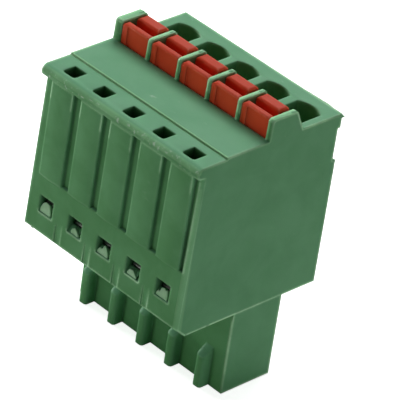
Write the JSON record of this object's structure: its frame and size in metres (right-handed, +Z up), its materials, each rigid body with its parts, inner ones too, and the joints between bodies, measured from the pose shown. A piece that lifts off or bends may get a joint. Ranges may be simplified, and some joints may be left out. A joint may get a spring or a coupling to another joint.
{
  "type": "pluggable spring-clamp terminal block",
  "caption": "Pluggable board terminal block with push-button spring clamps, test holes, wire entries and a keyed plug underneath.",
  "frame": {"origin": "centre of the outline, on the mating face of the plug", "axes": "X along the row of poles, -Y towards the test holes, +Z up out of the plug"},
  "size_m": [0.0132, 0.0112, 0.0185],
  "materials": {
    "housing_green": "moulded satin",
    "button_orange": "moulded satin",
    "spring_steel": "rolled",
    "tinned_copper": "tin plated"
  },
  "bodies": {
    "block": {"housing": "housing_green", "clamp_spring_1": "spring_steel", "clamp_spring_2": "spring_steel", "clamp_spring_3": "spring_steel", "clamp_spring_4": "spring_steel", "clamp_spring_5": "spring_steel", "contact_1": "tinned_copper", "contact_2": "tinned_copper", "contact_3": "tinned_copper", "contact_4": "tinned_copper", "contact_5": "tinned_copper"},
    "button_1": {"button_1": "button_orange"},
    "button_2": {"button_2": "button_orange"},
    "button_3": {"button_3": "button_orange"},
    "button_4": {"button_4": "button_orange"},
    "button_5": {"button_5": "button_orange"}
  },
  "joints": [
    {"name": "button_1_press", "type": "slide", "parent": "block", "child": "button_1", "axis": [0, 0, -1], "range_m": [0, 0.001], "stiffness_N_per_m": 3000, "deforming": ["clamp_spring_1"]},
    {"name": "button_2_press", "type": "slide", "parent": "block", "child": "button_2", "axis": [0, 0, -1], "range_m": [0, 0.001], "stiffness_N_per_m": 3000, "deforming": ["clamp_spring_2"]},
    {"name": "button_3_press", "type": "slide", "parent": "block", "child": "button_3", "axis": [0, 0, -1], "range_m": [0, 0.001], "stiffness_N_per_m": 3000, "deforming": ["clamp_spring_3"]},
    {"name": "button_4_press", "type": "slide", "parent": "block", "child": "button_4", "axis": [0, 0, -1], "range_m": [0, 0.001], "stiffness_N_per_m": 3000, "deforming": ["clamp_spring_4"]},
    {"name": "button_5_press", "type": "slide", "parent": "block", "child": "button_5", "axis": [0, 0, -1], "range_m": [0, 0.001], "stiffness_N_per_m": 3000, "deforming": ["clamp_spring_5"]}
  ]
}
